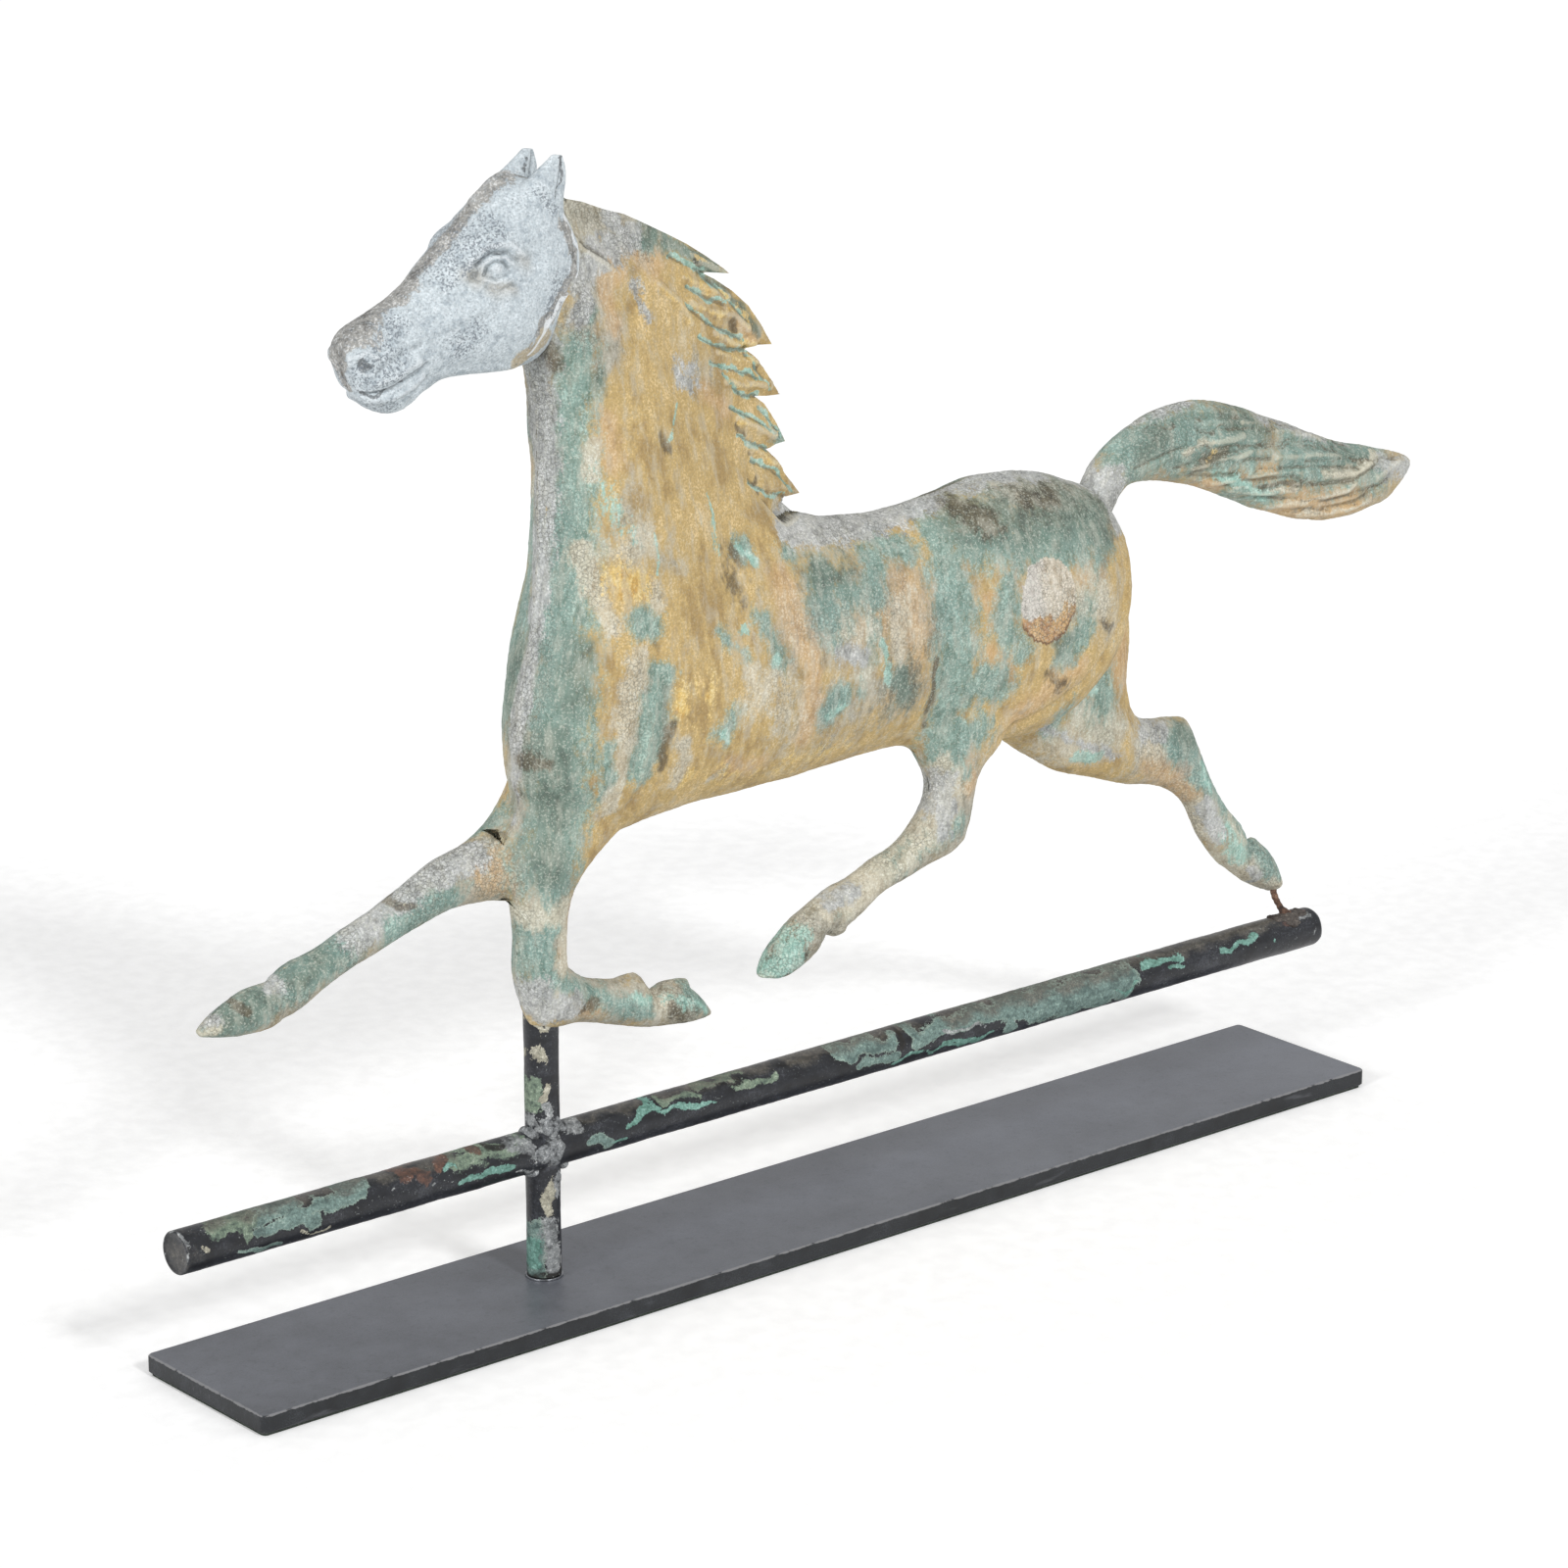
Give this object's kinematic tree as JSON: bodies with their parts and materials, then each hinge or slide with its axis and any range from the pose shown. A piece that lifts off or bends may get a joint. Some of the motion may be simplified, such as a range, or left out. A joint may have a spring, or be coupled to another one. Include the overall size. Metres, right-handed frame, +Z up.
{
  "type": "horse weathervane",
  "caption": "Trotting horse weathervane of pressed copper with a zinc head, on crossed iron pipes that turn on a spindle over a flat steel base plate.",
  "frame": {"origin": "on the spindle's axis, at the underside of the felt pad under the base plate", "axes": "+Z up along the spindle, +X towards the horse's tail along the crossbar, -Y on the horse's near (left) side"},
  "size_m": [0.85, 0.1016, 0.5925],
  "materials": {
    "black_steel": "satin black paint, scuffed at the edges",
    "felt": "thin dark felt",
    "bright_steel": "plain turned steel",
    "bronze": "plain turned bronze",
    "iron_pipe": "black pipe with flakes of green and cream paint",
    "solder": "dull grey solder with specks of paint",
    "rusty_wire": "dark rust",
    "gilded_copper": "worn gilding and ochre size over verdigris",
    "verdigris_copper": "matte verdigris with cream and ochre remnants",
    "painted_zinc": "chalky pale blue-white paint over grey zinc"
  },
  "bodies": {
    "stand": {"base_plate": "black_steel", "felt_pad": "felt", "spindle": "bright_steel", "base_screw": "bright_steel", "foot_washer": "bright_steel"},
    "vane": {"lower_bush": "bronze", "pivot_cup": "bronze", "upright_tube": "iron_pipe", "crossbar_tube": "iron_pipe", "front_end_cap": "iron_pipe", "rear_end_cap": "iron_pipe", "crossing_solder": "solder", "hoof_wire": "rusty_wire", "wire_solder": "rusty_wire", "body_left_half": "gilded_copper", "body_right_half": "gilded_copper", "mane_sheet": "gilded_copper", "tail_left_half": "verdigris_copper", "tail_right_half": "verdigris_copper", "near_foreleg_outer": "verdigris_copper", "near_foreleg_inner": "verdigris_copper", "far_foreleg_outer": "verdigris_copper", "far_foreleg_inner": "verdigris_copper", "near_hindleg_outer": "verdigris_copper", "near_hindleg_inner": "verdigris_copper", "far_hindleg_outer": "verdigris_copper", "far_hindleg_inner": "verdigris_copper", "head_left_half": "painted_zinc", "head_right_half": "painted_zinc"}
  },
  "joints": [
    {"name": "vane_turn", "type": "hinge", "parent": "stand", "child": "vane", "pos_m": [0, 0, 0.011], "axis": [0, 0, 1], "continuous": true}
  ]
}
